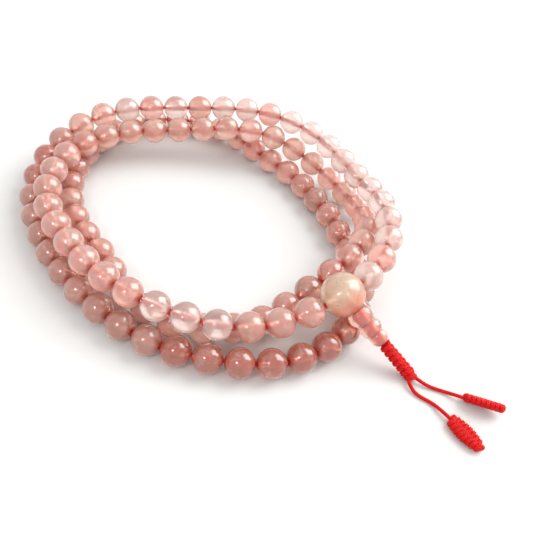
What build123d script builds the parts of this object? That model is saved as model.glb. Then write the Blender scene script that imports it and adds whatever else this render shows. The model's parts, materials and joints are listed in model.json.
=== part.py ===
from build123d import *
import math
import os

import numpy as np

# A mala of stone beads, laid on a table in three loose turns, with its guru bead, stupa bead,
# knotted stem and two tails lying outside the turns. All sizes are in millimetres. +Z is up, and
# the origin is on the table under the middle of the beads, the guru, the stupa and the stem.

# ---- driving sizes ----------------------------------------------------------------------------

bead_count = 108         # counting beads on the string
bead_d = 8.0             # one counting bead
bead_rim = 0.15          # chamfer at each mouth of a bead's bore
guru_d = 11.8            # the larger ball that closes the loop
cord_d = 0.9             # the stringing cord
bore_clearance = 0.25    # between the cord and a bore's wall
string_slack = 0.08      # room between two beads in line on the string
row_clearance = 0.15     # room between beads of turns that lie against each other
bead_clearance = 0.02    # least room left between two beads where the string bends
loose_each_side = 18     # beads on each side of the guru that are separate nodes
group_size = 6           # beads in one node along the rest of the string

string_end_clearance = 0.35  # inside the guru, from each end of the string to the hanging strands
# each tier of the stupa, guru end first: across its bulge, its height, across the neck after it
stupa_tiers = ((6.6, 4.2, 5.0), (6.2, 3.6, 4.3), (5.0, 3.2, 3.3))
stupa_mouth_d = 5.4      # across the stupa's rim, where it sits on the guru
stupa_seat_depth = 0.5   # how far the rim reaches up the guru's side
seat_clearance = 0.1     # between the guru and the stupa's hollow seat
strand_clearance = 0.05  # between the two cord ends, side by side

plait_knots = 7          # snake knots in the stem
plait_d = 3.7            # across one knot
knot_step = 1.35         # from one knot's middle to the next
turn_clearance = 0.06    # between pieces that turn on each other

tail_d = 1.0             # each tail's cord
leaf_length = 10.4       # a leaf-shaped end knot, from its tie to its round end
leaf_wide_d = 5.0        # round its wide end
leaf_neck_d = 2.6        # round its narrow end
leaf_thick = 2.4         # through the leaf
leaf_edge = 0.9          # its edges' rounding
socket_depth = 1.3       # how far a tail runs into its leaf
socket_clearance = 0.05  # between the tail and the leaf's socket
lead_out = 1.35          # straight cord out of the stem's last knot
lead_in = 1.2            # straight cord before the leaf
table_gap = 0.02         # under the tails and their knots

settle_rounds = 3000     # sweeps of the loop that lets the beads settle
string_arc_share = 0.3   # share of a bead's pitch that each bend of the string takes
tail_arc_share = 0.45    # share of the shorter run that each bend of a tail takes

# ---- how the string is laid -------------------------------------------------------------------

# Seen from above, the string goes round three times. Each pair is the string's distance from the
# middle and its height above the table, in bead diameters, at every thirty degrees from the guru on.
turns = (
    ((6.25, 1.20), (7.10, 2.55), (5.85, 1.60), (6.15, 1.95), (5.75, 2.10), (5.35, 1.75),
     (6.45, 1.95), (7.20, 0.80), (5.95, 0.25), (5.70, 0.60), (6.15, 0.45), (6.75, 0.55)),
    ((7.60, 0.45), (5.60, 0.55), (4.50, 0.55), (4.65, 0.45), (5.00, 0.50), (7.45, 0.50),
     (6.55, 0.50), (5.70, 0.45), (4.65, 0.55), (4.05, 0.55), (5.45, 0.55), (5.60, 0.40)),
    ((4.55, 0.85), (6.25, 1.40), (6.15, 0.30), (5.85, 0.80), (4.50, 1.95), (4.55, 1.20),
     (5.35, 1.35), (6.50, 1.35), (5.50, 1.25), (5.30, 1.45), (5.45, 1.45), (6.10, 1.20)),
)
guru_bearing = -36.3     # degrees round the middle at which the guru lies
pendant_heading = -27    # degrees in plan that the stupa and the stem point to

# The way each tail comes out of the stem's last knot: its heading in plan and its drop, in degrees.
upper_exit = (-24, 10)
lower_exit = (-76, 12)
# The tails as they lie: +X, +Y and height above lying flat, from the middle of the stem's last knot.
upper_tail = ((5.4, -2.3, 0.25), (8.3, -2.75, 0.0), (10.9, -3.2, 0.15))
lower_tail = ((1.9, -4.85, 0.2), (3.7, -6.05, 0.0), (6.9, -7.2, 0.0))
# Each leaf's tie, from the same middle, then its heading in plan, its rise and its roll in degrees.
upper_leaf = ((14.5, -4.3), -12, 6, -48)
lower_leaf = ((10.6, -10.9), -44, 0, 0)

# ---- sizes that follow ------------------------------------------------------------------------

bead_r = bead_d / 2
guru_r = guru_d / 2
bore_d = cord_d + 2 * bore_clearance
pitch = bead_d + string_slack
guru_pitch = guru_d + 3 * string_slack
strands_across = 2 * cord_d + strand_clearance
end_bore_d = strands_across + 2 * bore_clearance
string_end_room = strands_across / 2 + string_end_clearance
stations = len(turns[0])
route = [pair for turn in turns for pair in turn]
stupa_start = guru_r - stupa_seat_depth
stupa_end = stupa_start + sum(height for _, height, _ in stupa_tiers)
plait_r = plait_d / 2
first_knot = stupa_end + turn_clearance + plait_r
last_knot = first_knot + (plait_knots - 1) * knot_step


# ---- laying the string ------------------------------------------------------------------------

def on_route(step, spread):
    """The string's place after so many stations, with the turns spread by a factor."""
    whole = math.floor(step)
    f = step - whole
    weights = ((1 - f) ** 3, 3 * f**3 - 6 * f**2 + 4, -3 * f**3 + 3 * f**2 + 3 * f + 1, f**3)
    near = [route[(whole - 1 + k) % len(route)] for k in range(4)]
    reach = sum(w * pair[0] for w, pair in zip(weights, near)) / 6
    height = sum(w * pair[1] for w, pair in zip(weights, near)) / 6
    bearing = math.radians(guru_bearing + 360 / stations * step)
    plan = spread * reach * bead_d
    return Vector(plan * math.cos(bearing), plan * math.sin(bearing), height * bead_d)


def step_on(step, length, spread):
    """The station at which the string is one straight length further on."""
    start = on_route(step, spread)
    low = step
    high = step + 3
    for _ in range(40):
        middle = (low + high) / 2
        if (on_route(middle, spread) - start).length < length:
            low = middle
        else:
            high = middle
    return low


def walk(spread):
    """The stations of the gaps between beads, from the guru's first side round to its second."""
    marks = [step_on(0, guru_pitch / 2, spread)]
    for _ in range(bead_count):
        marks.append(step_on(marks[-1], pitch, spread))
    return marks


def lay_string():
    """The gaps' places, with the turns spread just enough to close the loop at the guru."""
    tight = 0.5
    wide = 2.0
    for _ in range(40):
        spread = (tight + wide) / 2
        marks = walk(spread)
        if step_on(marks[-1], guru_pitch, spread) > marks[0] + len(route):
            tight = spread
        else:
            wide = spread
    return [on_route(mark, spread) for mark in marks]


def direction(heading, drop):
    """The unit vector at a heading in plan, falling by an angle."""
    level = math.radians(heading)
    fall = math.radians(drop)
    return Vector(math.cos(fall) * math.cos(level), math.cos(fall) * math.sin(level), -math.sin(fall))


def pendant_line(guru_height):
    """The way the stupa and the stem point when the stem's last knot rests on the table."""
    drop = math.asin((guru_height - plait_r - table_gap) / last_knot)
    return direction(pendant_heading, math.degrees(drop))


def settle(gaps):
    """Moves the beads apart where turns touch, keeping them on the table and in line on the string."""
    points = np.array([tuple(p) for p in gaps])
    count = len(points)
    radii = np.array([bead_r] * bead_count + [guru_r])
    lengths = np.array([pitch] * bead_count + [guru_pitch])
    bend_room = 2 * (radii + np.roll(radii, -1) + bead_clearance)
    here, there = np.triu_indices(count, 2)
    apart = (there - here) < count - 1
    here = here[apart]
    there = there[apart]
    rooms = radii[here] + radii[there] + row_clearance
    hanging = [(first_knot + knot * knot_step, plait_r) for knot in range(plait_knots)]
    level = stupa_start
    for across, height, _ in stupa_tiers:
        hanging.append((level + height / 2, across / 2))
        level += height
    thirds = [np.arange(0, count - 1, 2), np.arange(1, count - 1, 2), np.array([count - 1])]
    for _ in range(settle_rounds):
        middles = (points + np.roll(points, -1, axis=0)) / 2
        across = middles[there] - middles[here]
        distance = np.linalg.norm(across, axis=1)
        short = np.maximum(rooms - distance, 0) / distance / 2
        shift = np.zeros_like(points)
        np.add.at(shift, here, -across * short[:, None])
        np.add.at(shift, there, across * short[:, None])
        shift[:, 2] += np.maximum(radii - middles[:, 2], 0)
        axis = np.array(tuple(pendant_line(middles[-1, 2])))
        for along, round_r in hanging:
            across = middles[:-1] - (middles[-1] + axis * along)
            distance = np.linalg.norm(across, axis=1)
            short = np.maximum(bead_r + round_r + row_clearance - distance, 0) / distance / 2
            shift[:-1] += across * short[:, None]
            shift[-1] -= (across * short[:, None]).sum(axis=0)
        points += (shift + np.roll(shift, 1, axis=0)) / 2
        chord = np.roll(points, -2, axis=0) - points
        reach = np.linalg.norm(chord, axis=1)
        spread = chord * (np.maximum(bend_room - reach, 0) / reach / 4)[:, None]
        points += np.roll(spread, 2, axis=0) - spread
        for some in thirds:
            after = (some + 1) % count
            run = points[after] - points[some]
            excess = run * ((1 - lengths[some] / np.linalg.norm(run, axis=1)) / 2)[:, None]
            points[some] += excess
            points[after] -= excess
    return [Vector(*p) for p in points]


# ---- pieces -----------------------------------------------------------------------------------

def drilled_ball(diameter):
    """A ball with a chamfered bore along its own Z axis."""
    ball = Sphere(diameter / 2) - Cylinder(bore_d / 2, 2 * diameter)
    return chamfer(ball.edges().filter_by(GeomType.CIRCLE), bead_rim)


def threaded(piece, start, end):
    """A piece made along Z, moved onto the string between two gaps."""
    return piece.moved(Plane(origin=(start + end) / 2, z_dir=end - start).location)


def cord_along(points, diameter, arc_share):
    """A round cord on straight runs and tangent arcs, with its arcs' radii and its length."""
    runs = [(after - before).length for before, after in zip(points, points[1:])]
    bends = [
        (middle - before).get_angle(after - middle)
        for before, middle, after in zip(points, points[1:], points[2:])
    ]
    radii = [
        arc_share * min(runs[i], runs[i + 1]) / math.tan(math.radians(bend) / 2)
        for i, bend in enumerate(bends)
    ]
    path = FilletPolyline(*points, radius=radii)
    end = Plane(origin=points[0], z_dir=points[1] - points[0])
    return sweep(end * Circle(diameter / 2), path=path), radii, path.length


def guru(start, end, down):
    """The guru ball on the string, with a second bore from its middle down to the stupa."""
    ball = threaded(drilled_ball(guru_d), start, end)
    lead = Cylinder(end_bore_d / 2, guru_d, align=(Align.CENTER, Align.CENTER, Align.MIN))
    return ball - Plane(origin=(start + end) / 2, z_dir=down) * lead


def stupa():
    """The three-tier bead along Z, with the guru's middle as its origin."""
    bore_r = end_bore_d / 2
    level = stupa_start
    neck = stupa_mouth_d / 2
    outline = [Line((bore_r, level), (neck, level))]
    for across, height, next_neck in stupa_tiers:
        bulge = (across / 2, level + height / 2)
        outline.append(ThreePointArc((neck, level), bulge, (next_neck / 2, level + height)))
        level += height
        neck = next_neck / 2
    outline.append(Line((neck, level), (bore_r, level)))
    outline.append(Line((bore_r, level), (bore_r, stupa_start)))
    body = revolve(Plane.XZ * make_face(outline), axis=Axis.Z)
    return body - Sphere(guru_r + seat_clearance)


def cord_ends():
    """The string's two ends along Z, side by side from the guru's middle to the stem."""
    strand = Cylinder(
        cord_d / 2,
        first_knot - plait_r - turn_clearance,
        align=(Align.CENTER, Align.CENTER, Align.MIN),
    )
    side = (strands_across - cord_d) / 2
    return Pos(side, 0, 0) * strand + Pos(-side, 0, 0) * strand


def plait():
    """The stem along Z: round knots, one against the next."""
    stem = Pos(0, 0, first_knot) * Sphere(plait_r)
    for knot in range(1, plait_knots):
        stem += Pos(0, 0, first_knot + knot * knot_step) * Sphere(plait_r)
    return stem


def leaf():
    """A leaf-shaped end knot along X from its tie, with a socket for its tail."""
    neck = Pos(leaf_neck_d / 2, 0) * Circle(leaf_neck_d / 2)
    wide = Pos(leaf_length - leaf_wide_d / 2, 0) * Circle(leaf_wide_d / 2)
    outline = make_hull(neck.edges() + wide.edges())
    pad = extrude(outline, amount=leaf_thick / 2, both=True)
    pad = fillet(pad.edges(), leaf_edge)
    socket_r = tail_d / 2 + socket_clearance
    return pad - Rot(0, 90, 0) * Cylinder(socket_r, 2 * (socket_depth + socket_clearance))


def tail(way_out, points, tie, heading, rise, roll, knot_middle):
    """A tail's cord from the stem to its leaf, and the leaf resting on the table."""
    turned = Rot(0, 0, heading) * Rot(0, -rise, 0) * Rot(roll, 0, 0)
    knot = turned * leaf()
    height = table_gap - knot.bounding_box().min.Z
    place = Vector(knot_middle.X + tie[0], knot_middle.Y + tie[1], height)
    along = (turned * Vertex(1, 0, 0)).center()
    lying = tail_d / 2 + table_gap
    out = direction(*way_out)
    start = knot_middle + out * (plait_r + 2 * turn_clearance)
    route_points = [start, start + out * lead_out]
    route_points += [Vector(knot_middle.X + x, knot_middle.Y + y, lying + lift) for x, y, lift in points]
    route_points.append(place - along * lead_in)
    route_points.append(place + along * socket_depth)
    return cord_along(route_points, tail_d, tail_arc_share), Pos(place) * knot


# ---- the whole mala ---------------------------------------------------------------------------

gaps = settle(lay_string())
guru_middle = (gaps[-1] + gaps[0]) / 2
string_axis = (gaps[0] - gaps[-1]).normalized()

pendant_axis = pendant_line(guru_middle.Z)
pendant = Plane(origin=guru_middle, x_dir=string_axis, z_dir=pendant_axis)
first_knot_middle = guru_middle + pendant_axis * first_knot
last_knot_middle = guru_middle + pendant_axis * last_knot

nodes = {}
string_end = string_axis * string_end_room
string_points = [guru_middle + string_end, *gaps, guru_middle - string_end]
string, string_radii, string_length = cord_along(string_points, cord_d, string_arc_share)
nodes["stringing_cord"] = string

bead = drilled_ball(bead_d)
beads = [threaded(bead, start, end) for start, end in zip(gaps, gaps[1:])]
last_loose = bead_count - loose_each_side
for i, piece in enumerate(beads, start=1):
    if i <= loose_each_side or i > last_loose:
        nodes[f"bead_{i:03d}"] = piece
for first in range(loose_each_side + 1, last_loose + 1, group_size):
    last = min(first + group_size - 1, last_loose)
    nodes[f"beads_{first:03d}_{last:03d}"] = Compound(beads[first - 1 : last])

nodes["guru_bead"] = guru(gaps[-1], gaps[0], pendant_axis)
nodes["cord_ends"] = pendant * cord_ends()
nodes["stupa_bead"] = pendant * stupa()
nodes["plait"] = pendant * plait()
tails = {
    "upper": tail(upper_exit, upper_tail, *upper_leaf, last_knot_middle),
    "lower": tail(lower_exit, lower_tail, *lower_leaf, last_knot_middle),
}

# The origin is under the middle of everything but the two tails.
body = Compound(list(nodes.values())).bounding_box()
origin = Vector((body.min.X + body.max.X) / 2, (body.min.Y + body.max.Y) / 2, body.min.Z)
for name, ((cord, radii, length), knot) in tails.items():
    nodes[f"{name}_tail_cord"] = cord
    nodes[f"{name}_end_knot"] = knot
    print(f"{name} tail: {length:.1f} mm of cord, arc radii", [round(r, 1) for r in radii])
print(f"string: {string_length:.1f} mm of cord, least arc radius {min(string_radii):.1f}")

os.makedirs("parts", exist_ok=True)
for name, piece in nodes.items():
    export_step(Pos(-origin) * piece, f"parts/{name}.step")
print(f"{len(nodes)} nodes")
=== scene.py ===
# %% [markdown]
# # A rose quartz mala
# A mala is a string of 108 counting beads. This one is rose quartz on a red cord, laid down in three
# loose turns. The cord's two ends leave the loop through a larger guru bead and a stupa bead with
# three tiers, are tied into a stem of snake knots, and end as two tails with a leaf knot on each.
#
# The CAD model holds every piece's size and place. Blender adds what the eye sees: stone that light
# goes into, a cord that is really braided, and knots that are really tied.

import json
import math
import random

import bmesh
import bpy
from mathutils import Matrix, Vector


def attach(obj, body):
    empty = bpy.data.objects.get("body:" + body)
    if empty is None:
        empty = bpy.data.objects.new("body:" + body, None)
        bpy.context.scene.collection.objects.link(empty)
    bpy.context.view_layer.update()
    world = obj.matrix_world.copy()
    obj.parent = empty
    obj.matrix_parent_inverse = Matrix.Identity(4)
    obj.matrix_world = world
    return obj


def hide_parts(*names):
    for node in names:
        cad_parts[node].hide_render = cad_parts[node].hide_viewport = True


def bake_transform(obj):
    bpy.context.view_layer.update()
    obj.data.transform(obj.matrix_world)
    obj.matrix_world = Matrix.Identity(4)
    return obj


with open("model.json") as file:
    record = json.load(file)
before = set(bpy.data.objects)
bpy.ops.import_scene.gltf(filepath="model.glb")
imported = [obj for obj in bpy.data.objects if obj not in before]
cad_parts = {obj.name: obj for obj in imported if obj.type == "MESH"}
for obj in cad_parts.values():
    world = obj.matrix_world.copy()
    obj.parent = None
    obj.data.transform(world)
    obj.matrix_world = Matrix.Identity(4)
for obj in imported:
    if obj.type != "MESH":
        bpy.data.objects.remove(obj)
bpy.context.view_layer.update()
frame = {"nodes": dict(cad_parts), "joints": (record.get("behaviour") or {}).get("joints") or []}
mm = 0.001
joints = {joint["name"]: joint for joint in frame["joints"]}

# %% [markdown]
# ## The camera
# Beads are round, so a picture of them works from nearly any side. From half way up, the turns lie
# open and the way they cross each other shows. The camera also leans to one side, as when it is
# held in the hand, which makes the loops run across the picture from corner to corner.

# %% Set up the camera
aim = Vector((17.4, -11.0, 0)) * mm    # the point on the table that the camera looks at
distance = 180.3 * mm
elevation = math.radians(45.6)
lean = math.radians(11.2)

turned = Matrix.Rotation(math.pi / 2 - elevation, 4, "X") @ Matrix.Rotation(lean, 4, "Z")
camera = bpy.data.objects.new("camera", bpy.data.cameras.new("camera"))
camera.matrix_world = Matrix.Translation(aim) @ turned @ Matrix.Translation((0, 0, distance))
camera.data.lens = 41
camera.data.sensor_width = 36
camera.data.clip_start = 1 * mm
bpy.context.scene.collection.objects.link(camera)
bpy.context.scene.camera = camera
print("camera at", [round(x, 4) for x in camera.matrix_world.translation])

# %% [markdown]
# ## Where the cords run
# A cord lies in one smooth line, so it starts as a route: a few points that a NURBS spline follows
# loosely. Everything on the cord is then placed along points read back from that spline.
#
# Each tail begins inside the stem, where the knots hold it, comes out of the last knot, comes down
# on the table and runs into its leaf knot nearly to the knot's round end. The points are the ones
# that the CAD cord has, with a stretch added at each end for what the knots hide.

# %% Lay the two tails
tail_d = 1.0 * mm
lying = 0.52 * mm                      # height of a tail's middle when it lies on the table
last_knot = Vector(joints["upper_tail_sway"]["pos_m"])
first_knot = Vector(joints["stem_sway"]["pos_m"])
guru_middle = Vector(joints["pendant_swing"]["pos_m"])
stem_axis = (last_knot - first_knot).normalized()
stem_side = Vector((0, 0, 1)).cross(stem_axis).normalized()
leaf_turns = {"upper": (-12, 6, -48), "lower": (-44, 0, 0)}    # each leaf's heading, rise and roll
past_tie = 1.3                         # how far into its leaf knot a tail's third last point lies, in mm


def direction(heading, rise):
    """The unit vector at a heading in plan, rising by an angle, both in degrees."""
    level = math.radians(heading)
    climb = math.radians(rise)
    return Vector((math.cos(climb) * math.cos(level), math.cos(climb) * math.sin(level), math.sin(climb)))


def tail_points(way_out, aside, points, tie, heading, rise):
    """A tail's route from inside the stem, out of its last knot and on to its leaf knot's end."""
    held = [last_knot - stem_axis * back * mm + stem_side * aside * mm for back in (8.0, 5.0, 1.8)]
    out = [last_knot + direction(*way_out) * far * mm for far in (1.97, 3.32)]
    under = Vector((last_knot.x, last_knot.y, 0))
    free = [under + Vector((x * mm, y * mm, lying + lift * mm)) for x, y, lift in points]
    start = under + Vector(tie) * mm
    along = direction(heading, rise)
    inside = [start + along * far * mm for far in (-1.2, past_tie, 4.4, 8.2)]
    return held + out + free + inside


def smooth_line(points):
    """The points along the NURBS spline that has these control points."""
    curve = bpy.data.curves.new("route", "CURVE")
    curve.dimensions = "3D"
    curve.resolution_u = 16
    spline = curve.splines.new("NURBS")
    spline.points.add(len(points) - 1)
    for control, point in zip(spline.points, points):
        control.co = (*point, 1)
    spline.order_u = 3
    spline.use_endpoint_u = True
    holder = bpy.data.objects.new("route", curve)
    mesh = bpy.data.meshes.new_from_object(holder)
    line = [vertex.co.copy() for vertex in mesh.vertices]
    bpy.data.objects.remove(holder)
    bpy.data.curves.remove(curve)
    bpy.data.meshes.remove(mesh)
    return line


def line_length(line):
    """The length of a line of points."""
    return sum((after - before).length for before, after in zip(line, line[1:]))


tails = {
    "upper": tail_points(
        (-24, -10), 0.45, ((5.4, -2.3, 0.25), (8.3, -2.75, 0.0), (10.9, -3.2, 0.15)),
        (14.5, -4.3, 1.49), *leaf_turns["upper"][:2],
    ),
    "lower": tail_points(
        (-76, -12), -0.45, ((1.9, -4.85, 0.2), (3.7, -6.05, 0.0), (6.9, -7.2, 0.0)),
        (10.6, -10.9, 1.22), *leaf_turns["lower"][:2],
    ),
}
tail_lines = {name: smooth_line(points) for name, points in tails.items()}
for name, line in tail_lines.items():
    print(f"{name} tail: {len(line)} points, {line_length(line) / mm:.1f} mm")

# %% [markdown]
# ## A braided cord
# Mala cord is braided polyester: thin strands that go round the cord both ways and pass over and
# under each other. A plain tube with a bump pattern looks printed from close by, so every strand is
# modelled. Half of them turn clockwise and half the other way, and each one swells out where it
# crosses over and dips where it crosses under.
#
# A strand needs a frame that travels along the cord without twisting. It is carried from point to
# point by the smallest turn that follows the line's direction.

# %% Make strands that follow a line
strands_each_way = 6
strand_share = 0.12                    # a strand's radius as a share of the cord's diameter
ring_share = 0.37                      # how far a strand's middle lies from the cord's middle
weave_share = 0.04                     # how much it moves out and in where strands cross
core_share = 0.39                      # the radius of the core that shows between strands
braid_pitch = 2.6                      # cord diameters in which a strand goes round once


def evenly_spaced(line, step, closed):
    """The same line with its points a fixed distance apart."""
    path = line + [line[0]] if closed else line
    count = max(8, round(line_length(path) / step))
    gap = line_length(path) / count
    spaced = []
    travelled = 0.0
    for before, after in zip(path, path[1:]):
        run = (after - before).length
        while len(spaced) * gap <= travelled + run and len(spaced) < count + (not closed):
            spaced.append(before.lerp(after, (len(spaced) * gap - travelled) / run))
        travelled += run
    if not closed and len(spaced) <= count:
        spaced.append(path[-1].copy())
    return spaced


def carried_frames(line, closed):
    """A direction and a side direction at each point, carried along without twisting."""
    ahead = [after - before for before, after in zip(line[-1:] + line[:-1], line[1:] + line[:1])]
    if not closed:
        ahead[0] = line[1] - line[0]
        ahead[-1] = line[-1] - line[-2]
    ahead = [step.normalized() for step in ahead]
    side = ahead[0].orthogonal().normalized()
    frames = [(ahead[0], side)]
    for before, after in zip(ahead, ahead[1:]):
        side = before.rotation_difference(after) @ side
        frames.append((after, side))
    if closed:
        back = ahead[-1].rotation_difference(ahead[0]) @ side
        twist = math.atan2(back.cross(frames[0][1]).dot(ahead[0]), back.dot(frames[0][1]))
        frames = [
            (axis, Matrix.Rotation(twist * i / len(frames), 3, axis) @ side)
            for i, (axis, side) in enumerate(frames)
        ]
    return frames


def braid_strands(line, cord_d, closed):
    """The middle lines of a braided cord's strands."""
    line = evenly_spaced(line, 0.17 * cord_d, closed)
    frames = carried_frames(line, closed)
    path = line + line[:1] if closed else line
    turns = max(1, round(line_length(path) / (braid_pitch * cord_d)))
    whole = len(line) if closed else len(line) - 1
    strands = []
    for way in (1, -1):
        for number in range(strands_each_way):
            strand = []
            for i, (point, (axis, side)) in enumerate(zip(line, frames)):
                travelled = math.tau * turns * i / whole
                around = way * travelled + math.tau * number / strands_each_way
                out = ring_share + weave_share * way * math.cos(strands_each_way * travelled)
                outward = side * math.cos(around) + axis.cross(side) * math.sin(around)
                strand.append(point + outward * out * cord_d)
            strands.append(strand)
    return strands


def tubes(name, lines, radius, closed):
    """A mesh of smooth tubes round the lines."""
    curve = bpy.data.curves.new(name, "CURVE")
    curve.dimensions = "3D"
    curve.bevel_depth = radius
    curve.bevel_resolution = 1
    curve.use_fill_caps = True
    for line in lines:
        spline = curve.splines.new("POLY")
        spline.points.add(len(line) - 1)
        for control, point in zip(spline.points, line):
            control.co = (*point, 1)
        spline.use_cyclic_u = closed
        spline.use_smooth = True
    holder = bpy.data.objects.new(name, curve)
    mesh = bpy.data.meshes.new_from_object(holder)
    bpy.data.objects.remove(holder)
    bpy.data.curves.remove(curve)
    return mesh


def cord_piece(name, lines, cord_d, closed=False):
    """One object of braided cord that follows each of the lines: its strands, then its core."""
    strands = [strand for line in lines for strand in braid_strands(line, cord_d, closed)]
    work = bmesh.new()
    for slot, (paths, share) in enumerate(((strands, strand_share), (lines, core_share))):
        mesh = tubes("cord", paths, share * cord_d, closed)
        first = len(work.faces)
        work.from_mesh(mesh)
        work.faces.ensure_lookup_table()
        for face in work.faces[first:]:
            face.material_index = slot
        bpy.data.meshes.remove(mesh)
    piece = bpy.data.objects.new(name, bpy.data.meshes.new(name))
    work.to_mesh(piece.data)
    work.free()
    bpy.context.scene.collection.objects.link(piece)
    print(name, len(piece.data.polygons), "faces")
    return piece


# %% [markdown]
# ## The tails
# Both tails are single lengths of the same braided cord.

# %% Make the tails
tail_pieces = {}
for name, line in tail_lines.items():
    tail_pieces[name] = cord_piece(f"{name}_tail", [line], tail_d)

# %% [markdown]
# ## Knots made of loops
# A snake knot is a loop to the left and a loop to the right, pulled tight round the cords in the
# middle. Tied again and again it makes a stem with two columns of loops that lean into each other
# like the two sides of a plait. A leaf knot is the same, with loops that grow wider and then stop.
#
# Each loop is a closed ring of cord. Its outer bend lies at the edge, and its inner bend is tucked
# in past the middle, further along the stem. In front the right loops cover the left ones, and
# behind it is the other way round, as in the real knot, so each loop is pushed over to one side in
# front and to the other side behind.

# %% Tie loops in two columns
def loop_line(side, station, reach, depth, slope):
    """One loop in its knot's own frame: X along the knot, Y across it and Z through it."""
    tuck = 0.6 * reach
    half = (reach + tuck) / 2
    points = 40
    line = []
    for i in range(points):
        turn = math.tau * i / points
        inward = (1 - math.cos(turn)) / 2
        across = side * (half * math.cos(turn) + half - tuck) - 0.3 * reach * math.sin(turn) * inward
        line.append(Vector((station + slope * inward, across, depth * math.sin(turn))))
    return line


def knot_loops(stations, reach_at, depth, slope):
    """Every loop of a knot, left and right by turns, with half a step between the columns."""
    step = stations[1] - stations[0]
    return [
        loop_line(side, station + late, reach_at(station + late), depth, slope)
        for station in stations
        for side, late in ((1, 0), (-1, step / 2))
    ]


def placed(lines, matrix):
    """The same lines, moved to a place."""
    return [[matrix @ point for point in line] for line in lines]


def pressed_flat(lines, cord_d):
    """The same lines, with no cord under the table: a soft knot flattens where it rests."""
    return [[Vector((*point.xy, max(point.z, 0.54 * cord_d))) for point in line] for line in lines]


# %% Tie the stem
stem_knots = 7
stem_loop_d = 1.7 * mm
stem_pitch = 1.62 * mm
stem_start = -1.4 * mm                 # the first loops' station, from the first knot's middle
stem_depth = 0.84 * mm                 # how far a loop's line comes forward and goes back
stem_slope = 1.3 * mm                  # how much further along the stem its inner bend lies
stem_place = Matrix.Translation(first_knot) @ Matrix(
    (stem_axis, stem_side, stem_axis.cross(stem_side))
).transposed().to_4x4()


def stem_reach(station):
    """How far a loop's line reaches out: the stem is tied a little wider towards its end."""
    return (1.0 + 0.02 * station / mm) * mm


stem_stations = [stem_start + number * stem_pitch for number in range(stem_knots)]
stem_lines = knot_loops(stem_stations, stem_reach, stem_depth, stem_slope)
stem_lines = pressed_flat(placed(stem_lines, stem_place), stem_loop_d)
stem = cord_piece("stem", stem_lines, stem_loop_d, closed=True)

# %% Tie the two leaf knots
leaf_length = 10.4 * mm
leaf_knots = 8
leaf_loop_d = 1.4 * mm
leaf_first = 0.7 * mm                  # the first loops' station, from the tie
leaf_pitch = 1.15 * mm
leaf_depth = 0.5 * mm
leaf_slope = 0.8 * mm
resting = 0.53                         # loop diameters from a resting loop's line to the table


def leaf_reach(station):
    """How far a loop's line reaches out: narrow at the tie, wide in the middle, and a round end."""
    share = 0.06 + 0.93 * min(max(station / leaf_length, 0), 1)
    return (0.2 + 1.75 * math.sin(math.pi * share) ** 0.65) * mm


leaves = {}
for name, (heading, rise, roll) in leaf_turns.items():
    place = (
        Matrix.Rotation(math.radians(heading), 4, "Z")
        @ Matrix.Rotation(math.radians(-rise), 4, "Y")
        @ Matrix.Rotation(math.radians(roll), 4, "X")
    )
    stations = [leaf_first + number * leaf_pitch for number in range(leaf_knots)]
    lines = placed(knot_loops(stations, leaf_reach, leaf_depth, leaf_slope), place)
    lowest = min(point.z for line in lines for point in line) - resting * leaf_loop_d
    tie = tails[name][-3] - direction(heading, rise) * past_tie * mm
    rest = Matrix.Translation((tie.x, tie.y, max(tie.z, -lowest)))
    leaves[name] = cord_piece(f"{name}_leaf_knot", placed(lines, rest), leaf_loop_d, closed=True)

# %% [markdown]
# ## The two cord ends
# From the guru's middle the string's two ends run side by side through the guru and the stupa. They
# show through the clear stone, so they are braided too.

# %% Make the cord ends
cord_d = 0.9 * mm
string_axis = Vector(joints["pendant_swing"]["axis"]).normalized()
half_apart = 0.475 * mm                # each end lies this far from the bore's middle
ends_back = 2.1 * mm                   # the ends stop this far before the first knot's middle
beside = (string_axis - stem_axis * string_axis.dot(stem_axis)).normalized() * half_apart
ends_stop = first_knot - stem_axis * ends_back
end_lines = [[guru_middle + beside * way, ends_stop + beside * way] for way in (1, -1)]
cord_ends = cord_piece("cord_ends_braided", end_lines, cord_d)

# %% [markdown]
# ## Numbers inside a material
# A material is a graph of nodes. Written as Python it reads better as sums, so one small class
# wraps a node's socket, and adding or multiplying two of them adds the Math node that does it.

# %% Wrap a socket so that Python can calculate with it
class Socket:
    """An output inside a material. Sums with it add their own Math nodes."""

    def __init__(self, tree, output=None):
        self.tree = tree
        self.output = output

    def node(self, kind, settings=None, sockets=None, output=0):
        """Adds a node: its settings first, then its sockets' values or links."""
        made = self.tree.nodes.new(kind)
        for key, value in (settings or {}).items():
            setattr(made, key, value)
        for key, value in (sockets or {}).items():
            if isinstance(value, Socket):
                self.tree.links.new(value.output, made.inputs[key])
            else:
                made.inputs[key].default_value = value
        return Socket(self.tree, made.outputs[output])

    def maths(self, operation, first, second=0.0):
        return self.node("ShaderNodeMath", {"operation": operation}, {0: first, 1: second})

    def __add__(self, other):
        return self.maths("ADD", self, other)

    __radd__ = __add__

    def __sub__(self, other):
        return self.maths("SUBTRACT", self, other)

    def __rsub__(self, other):
        return self.maths("SUBTRACT", other, self)

    def __mul__(self, other):
        return self.maths("MULTIPLY", self, other)

    __rmul__ = __mul__

    def __abs__(self):
        return self.maths("ABSOLUTE", self)

    def between(self, low, high):
        """0 up to low, 1 from high on, and a smooth rise from one to the other."""
        return self.node(
            "ShaderNodeMapRange",
            {"interpolation_type": "SMOOTHSTEP"},
            {"Value": self, "From Min": low, "From Max": high},
        )

    def mix(self, first, second):
        """The first colour where this is 0, and the second where it is 1."""
        return self.node(
            "ShaderNodeMix",
            {"data_type": "RGBA"},
            {"Factor": self, 6: first, 7: second},
            output=2,
        )


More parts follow.
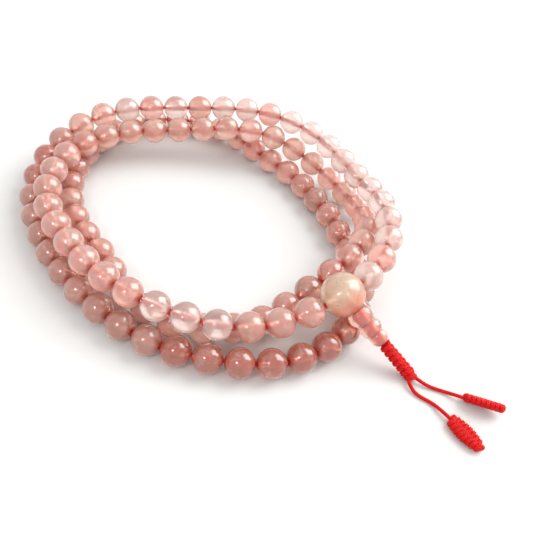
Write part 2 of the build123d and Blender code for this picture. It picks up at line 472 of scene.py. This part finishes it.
def new_finish(name):
    """An empty material with a Principled shader, and a socket to start its sums from."""
    material = bpy.data.materials.new(name)
    material.use_nodes = True
    shader = material.node_tree.nodes["Principled BSDF"]
    return material, shader, Socket(material.node_tree)


def set_shader(tree, shader, values):
    """Sets the shader's own sockets: a link where a value changes over the surface."""
    for key, value in values.items():
        if isinstance(value, Socket):
            tree.links.new(value.output, shader.inputs[key])
        else:
            shader.inputs[key].default_value = value


def in_millimetres(start):
    """The object's own coordinates, as millimetres."""
    place = start.node("ShaderNodeTexCoord", output=3)
    return start.node("ShaderNodeMapping", {}, {"Vector": place, "Scale": (1000, 1000, 1000)})


def noise(start, place, scale, detail=3.0, roughness=0.5):
    """Soft noise from 0 to 1."""
    return start.node(
        "ShaderNodeTexNoise",
        {},
        {"Vector": place, "Scale": scale, "Detail": detail, "Roughness": roughness},
    )


def colour(red, green, blue):
    """A colour from the 0 to 255 numbers that a picture editor shows."""
    return tuple((value / 255) ** 2.2 for value in (red, green, blue)) + (1.0,)


# %% [markdown]
# ## Rose quartz
# Rose quartz is clear quartz clouded by threads too fine to see. Light goes a few millimetres in,
# turns warm and pink, and comes out again, so a bead glows on its shaded side. Some beads are
# milky, some nearly clear, and many have a white veil or a healed crack inside.
#
# The shader mixes scattering under the surface with some clear transmission. The base is slightly
# rough, which blurs what shows through it, and a clear coat on top gives the hard polish.

# %% Mix the stone
quartz_ior = 1.54
light_reach = (1.0, 0.55, 0.45)        # how deep red, green and blue light go, next to each other
polish = {"Coat Roughness": 0.01, "Coat IOR": 1.55, "Coat Weight": 1.0}


def rose_quartz(name, stone, cloud, clearness, haze, veil):
    """One kind of rose quartz: its colour, its clouds' colour, and how clear, hazy and veiled it is."""
    material, shader, start = new_finish(name)
    place = in_millimetres(start)
    drift = noise(start, place, 0.11, 2.0)
    clouds = noise(start, place, 0.38, 4.0, 0.6)
    cracks = abs(noise(start, place, 0.24, 3.0, 0.55) - 0.5)
    veils = (1 - cracks.between(0.0, 0.05)) * clouds.between(0.42, 0.62) * veil
    cloudy = clouds.between(0.35, 0.7) * 0.6 + drift.between(0.35, 0.65) * 0.4
    whitened = veils.mix(cloudy.mix(stone, cloud), colour(252, 236, 228))
    # painted glow: red mixed into the stone's colour where the red string shows through
    painted_glow_amount = start.node("ShaderNodeAttribute", {"attribute_name": "string_glow"}, output=2)
    set_shader(start.tree, shader, {
        "Base Color": painted_glow_amount.mix(whitened, colour(236, 84, 70)),
        "Roughness": haze,
        "IOR": quartz_ior,
        "Transmission Weight": clearness,
        "Subsurface Weight": 1.0,
        "Subsurface Radius": light_reach,
        "Subsurface Scale": 4.0 * mm,
        **polish,
    })
    return material


# for each kind: the stone's colour and its clouds', then how clear, hazy and veiled it is
mixtures = {
    "milky": (colour(248, 212, 203), colour(251, 226, 218), 0.72, 0.20, 0.3),
    "clear": (colour(249, 218, 210), colour(252, 230, 223), 0.84, 0.10, 0.6),
    "pink": (colour(248, 182, 168), colour(252, 203, 190), 0.74, 0.15, 0.4),
    "peach": (colour(236, 178, 160), colour(243, 198, 182), 0.70, 0.17, 0.35),
    "rose": (colour(231, 160, 143), colour(240, 181, 165), 0.70, 0.16, 0.35),
    # the two darker kinds below are partly painted shade, for the beads of the lowest turn
    "dusty": (colour(208, 147, 130), colour(220, 166, 150), 0.65, 0.18, 0.3),
    "dusky": (colour(208, 120, 98), colour(222, 146, 126), 0.75, 0.14, 0.35),
}
stones = {kind: rose_quartz(f"rose_quartz_{kind}", *mixture) for kind, mixture in mixtures.items()}
print(len(stones), "kinds of rose quartz")

# %% [markdown]
# ## Every bead from its own stone
# Along most of the string the CAD model keeps six beads in one node, and each bead needs its own
# stone. So the beads are shown by copies of their nodes, with a material slot for each kind of
# stone. A copy's triangles are merged, and each bead is then the faces that hang together.
#
# Beads lie in runs of like stones: pale ones near the guru, darker ones along the lowest turn and
# pink ones on top. The darker stones along the lowest turn are partly painted shade, for the shade
# that turn lies in under the others, and partly the stones' own tone.

# %% Hand out the stones
tone_and_shade_runs = {                            # the last bead of each batch, and what it is mixed from
    10: {"milky": 5, "clear": 4, "pink": 2},
    20: {"milky": 3, "clear": 2, "pink": 3, "peach": 3},
    # beads 21 to 40 lie along the lowest turn: their darker stones are partly painted shade
    32: {"dusty": 8, "rose": 1, "dusky": 1},
    40: {"dusky": 8, "dusty": 2},
    75: {"rose": 7, "dusty": 2, "peach": 1},
    84: {"pink": 3, "peach": 4, "rose": 1},
    96: {"peach": 5, "pink": 4, "rose": 1},
    108: {"pink": 7, "peach": 2, "milky": 1, "clear": 2},
}


def kind_of_stone(number):
    """The kind of stone that a bead is cut from."""
    mixed = next(mix for last, mix in tone_and_shade_runs.items() if number <= last)
    return random.Random(number).choices(list(mixed), list(mixed.values()))[0]


def bead_numbers(node):
    """The numbers of the beads in a node."""
    first, *last = node.split("_")[1:]
    return range(int(first), int(last[0] if last else first) + 1)


def islands(work):
    """Lists of the faces that hang together, in the order they were made in."""
    left = set(work.faces)
    found = []
    for face in work.faces:
        if face in left:
            grown = [face]
            left.discard(face)
            for reached in grown:
                for edge in reached.edges:
                    fresh = [other for other in edge.link_faces if other in left]
                    left.difference_update(fresh)
                    grown.extend(fresh)
            found.append(grown)
    return found


def cut_beads(node):
    """A merged copy of a node's beads in their own stones, with each bead's middle and vertices."""
    piece = bpy.data.objects.new("stone_" + node.split("_", 1)[1], frame["nodes"][node].data.copy())
    bpy.context.scene.collection.objects.link(piece)
    piece.data.materials.clear()
    kinds = sorted({kind_of_stone(number) for number in bead_numbers(node)})
    for kind in kinds:
        piece.data.materials.append(stones[kind])
    work = bmesh.new()
    work.from_mesh(piece.data)
    bmesh.ops.remove_doubles(work, verts=work.verts, dist=0.0005 * mm)
    work.verts.index_update()
    found = {}
    for number, faces in zip(bead_numbers(node), islands(work)):
        for face in faces:
            face.material_index = kinds.index(kind_of_stone(number))
            face.smooth = True
        corners = {vertex for face in faces for vertex in face.verts}
        middle = sum((vertex.co for vertex in corners), Vector()) / len(corners)
        found[number] = (middle, sorted(vertex.index for vertex in corners))
    work.to_mesh(piece.data)
    work.free()
    return piece, found


pieces = {}
beads = {}
for node in frame["nodes"]:
    if node.startswith("bead"):
        piece, found = cut_beads(node)
        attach(piece, joints[f"{node}_spin"]["child"] if f"{node}_spin" in joints else "coil")
        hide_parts(node)
        pieces[node] = piece
        beads.update(found)
print(len(beads), "beads in", len(pieces), "pieces")

# %% [markdown]
# ## The string's glow
# Light that passes the red string comes out of the stone red, most of all round the two mouths of
# the bore. That red is painted into the stone's colour as a painted glow. Every vertex gets a number
# for it, which is highest at the mouths and falls to 0 part of the way to the bead's waist, and the
# bore's own wall gets some too. The stone's material reads it as an attribute.

# %% Paint the string's glow round the bore
bore_reach = 0.95 * mm                 # nearer to the string than this is the bore's own wall
wall_glow = 0.45
mouth_glow = 0.8
glow_from = 0.78                       # cosine of the angle from the mouth at which the glow ends


def glow_at(point, middle, along):
    """How much painted red glow the string gives a bead at a point."""
    arm = point - middle
    if arm.cross(along).length < bore_reach:
        return wall_glow
    towards_mouth = abs(arm.normalized().dot(along))
    return mouth_glow * max(0.0, (towards_mouth - glow_from) / (1 - glow_from)) ** 1.6


for node, piece in pieces.items():
    glow = [0.0] * len(piece.data.vertices)
    for number in bead_numbers(node):
        middle, corners = beads[number]
        before = beads[number - 1][0] if number > 1 else guru_middle
        after = beads[number + 1][0] if number < len(beads) else guru_middle
        along = (after - before).normalized()
        for corner in corners:
            glow[corner] = glow_at(piece.data.vertices[corner].co, middle, along)
    piece.data.attributes.new("string_glow", "FLOAT", "POINT").data.foreach_set("value", glow)

# %% [markdown]
# ## The guru and the stupa
# The guru is a cloudy beige stone with rusty specks. The stupa is the clearest stone on the mala,
# so the red cords show through it.

# %% Mix the guru's and the stupa's stone
def vectors(start, operation, first, second=(0, 0, 0), output=0):
    """A Vector Math node."""
    return start.node("ShaderNodeVectorMath", {"operation": operation}, {0: first, 1: second}, output)


def guru_stone():
    """Cream quartz with clouds, fine grain and rusty specks, and a painted red glow where the cords go
    in.
    """
    material, shader, start = new_finish("guru_stone")
    place = in_millimetres(start)
    clouds = noise(start, place, 0.22, 4.0, 0.6)
    grain = noise(start, place, 1.6, 3.0, 0.6)
    specks = start.node("ShaderNodeTexVoronoi", {}, {"Vector": place, "Scale": 0.95}, output=0)
    speck = (1 - specks.between(0.08, 0.24)) * noise(start, place, 0.5, 1.0).between(0.45, 0.55)
    body = clouds.between(0.3, 0.7).mix(colour(240, 210, 180), colour(248, 228, 206))
    grained = (grain.between(0.45, 0.75) * 0.35).mix(body, colour(206, 176, 148))
    specked = (speck * 0.65).mix(grained, colour(176, 98, 64))
    # painted glow: red mixed into the colour along the bore on the stem's side, where the red cords show
    # through
    from_middle = vectors(start, "SUBTRACT", place, guru_middle / mm)
    down_the_bore = vectors(start, "DOT_PRODUCT", from_middle, stem_axis, output=1)
    with_painted_glow = (down_the_bore.between(-1.5, 5.2) * 0.85).mix(specked, colour(242, 122, 84))
    set_shader(start.tree, shader, {
        "Base Color": with_painted_glow,
        "Roughness": 0.26,
        "IOR": quartz_ior,
        "Transmission Weight": 0.6,
        "Subsurface Weight": 1.0,
        "Subsurface Radius": (1.0, 0.6, 0.45),
        "Subsurface Scale": 4.0 * mm,
        "Coat Weight": 0.8,
        "Coat Roughness": 0.02,
    })
    return material


def stupa_stone():
    """Clear pink quartz; the wall round its bore is ground and painted red, a painted glow of the cords.
    """
    material, shader, start = new_finish("clear_quartz")
    place = in_millimetres(start)
    wisps = noise(start, place, 0.5, 3.0, 0.6)
    from_middle = vectors(start, "SUBTRACT", place, guru_middle / mm)
    aside = vectors(start, "CROSS_PRODUCT", from_middle, stem_axis)
    # the bore's wall is painted red: a painted glow of the red cords seen through the clear stone
    bore_wall = 1 - vectors(start, "LENGTH", aside, output=1).between(1.25, 1.7)
    stone = (wisps.between(0.4, 0.7) * 0.8).mix(colour(250, 198, 180), colour(253, 220, 206))
    set_shader(start.tree, shader, {
        "Base Color": bore_wall.mix(stone, colour(244, 64, 36)),
        "Roughness": 0.05,
        "IOR": quartz_ior,
        "Transmission Weight": 0.85,
        "Subsurface Weight": 1.0,
        "Subsurface Radius": light_reach,
        "Subsurface Scale": 3.0 * mm,
        "Coat Weight": 0.8,
        "Coat Roughness": 0.02,
    })
    # a matt red shader mixed in on the bore's wall, more of the painted glow
    painted_cord_red = start.node(
        "ShaderNodeBsdfPrincipled", {}, {"Base Color": colour(248, 48, 24), "Roughness": 0.6}
    )
    polished = Socket(start.tree, shader.outputs[0])
    both = start.node("ShaderNodeMixShader", {}, {0: bore_wall * 0.6, 1: polished, 2: painted_cord_red})
    start.tree.links.new(both.output, start.tree.nodes["Material Output"].inputs["Surface"])
    return material


frame["nodes"]["guru_bead"].material_slots[0].material = guru_stone()
frame["nodes"]["stupa_bead"].material_slots[0].material = stupa_stone()

# %% [markdown]
# ## Red polyester
# The strands are bundles of very fine, shiny threads. They are too fine to model one by one, so a
# fine noise stands for them, in the colour and as a bump, and a slower one for worn places.

# %% Dye the cord
def red_cord(name, dark, light):
    """Red polyester with fine threads, darker where it is worn."""
    material, shader, start = new_finish(name)
    place = in_millimetres(start)
    worn = noise(start, place, 1.1, 2.0)
    threads = noise(start, place, 9.0, 2.0)
    shade = worn.between(0.3, 0.7) * 0.6 + threads * 0.4
    raised = {"Strength": 0.3, "Distance": 0.03 * mm, "Height": threads}
    set_shader(start.tree, shader, {
        "Base Color": shade.mix(dark, light),
        "Roughness": 0.42,
        "Specular IOR Level": 0.25,
        "Normal": start.node("ShaderNodeBump", {}, raised),
    })
    return material


strand_red = red_cord("red_cord_strands", colour(176, 0, 0), colour(222, 4, 1))
# The core shows only between the strands, so its darker red is painted shade in the grooves.
core_red_painted_shade = red_cord("red_cord_core_painted_shade", colour(140, 0, 0), colour(180, 2, 1))
# The string in the beads is a lighter copy of the cord's red, painted light where it lies inside the
# stone.
string_red_painted_light = red_cord("red_cord_string_painted_light", colour(214, 16, 12), colour(246, 40, 30))
frame["nodes"]["stringing_cord"].material_slots[0].material = string_red_painted_light
for piece in (*tail_pieces.values(), *leaves.values(), stem, cord_ends):
    piece.data.materials.append(strand_red)
    piece.data.materials.append(core_red_painted_shade)

# %% [markdown]
# ## What moves with what
# The stem hangs from the guru and each tail swings at the stem's last knot. The stem, the cord ends
# and the leaf knots ride on their bodies; each leaf knot on its tail's.

# %% Hang the stem, the cord ends and the leaf knots on their bodies
bend_reach = 1.2 * mm                  # a tail turns over this much on each side of its joint

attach(stem, "stem")
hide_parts("plait")
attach(cord_ends, "guru")
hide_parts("cord_ends")
for name, piece in tail_pieces.items():
    way_out = (tails[name][3] - last_knot).normalized()
    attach(leaves[name], f"{name}_tail")
    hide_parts(f"{name}_end_knot")
    last_knot - way_out * bend_reach
    last_knot + way_out * bend_reach
    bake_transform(piece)
    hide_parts(f"{name}_tail_cord")
    line_length(tail_lines[name])

# %% [markdown]
# ## The table and the light
# The beads lie on a plain white table. A window high on the right gives each bead its broad soft
# highlight, a small lamp beside the camera gives the pin-sharp one, and a pale sky fills the rest.

# %% Lay the table
def table_finish():
    """Matt off-white, faintly uneven."""
    material, shader, start = new_finish("table")
    place = in_millimetres(start)
    uneven = noise(start, place, 0.05, 2.0)
    shade = uneven.mix(colour(212, 212, 211), colour(216, 216, 215))
    set_shader(start.tree, shader, {
        "Base Color": shade,
        "Roughness": 0.9,
        "Specular IOR Level": 0.0,
    })
    return material


work = bmesh.new()
bmesh.ops.create_grid(work, x_segments=1, y_segments=1, size=1.2)
table = bpy.data.objects.new("table", bpy.data.meshes.new("table"))
work.to_mesh(table.data)
work.free()
table.data.materials.append(table_finish())
bpy.context.scene.collection.objects.link(table)

# %% Set the lights
def area_light(name, towards, far, width, height, power, tint):
    """A rectangular light that faces the beads from a direction."""
    light = bpy.data.objects.new(name, bpy.data.lights.new(name, "AREA"))
    light.data.shape = "RECTANGLE"
    light.data.size = width
    light.data.size_y = height
    light.data.energy = power
    light.data.color = tint
    light.location = Vector(towards).normalized() * far
    light.rotation_euler = light.location.to_track_quat("Z", "Y").to_euler()
    bpy.context.scene.collection.objects.link(light)
    print(name, power, "W")


area_light("window", (0.62, 0.40, 0.67), 1.0, 0.72, 0.88, 10.5, (1.0, 0.99, 0.97))
area_light("lamp", (-0.25, -0.71, 0.66), 0.22, 0.03, 0.03, 0.06, (1.0, 1.0, 1.0))

world = bpy.data.worlds.new("sky")
world.use_nodes = True
world.node_tree.nodes["Background"].inputs["Color"].default_value = (1.0, 0.995, 0.99, 1.0)
world.node_tree.nodes["Background"].inputs["Strength"].default_value = 1.05
bpy.context.scene.world = world
bpy.context.scene.view_settings.view_transform = "Standard"
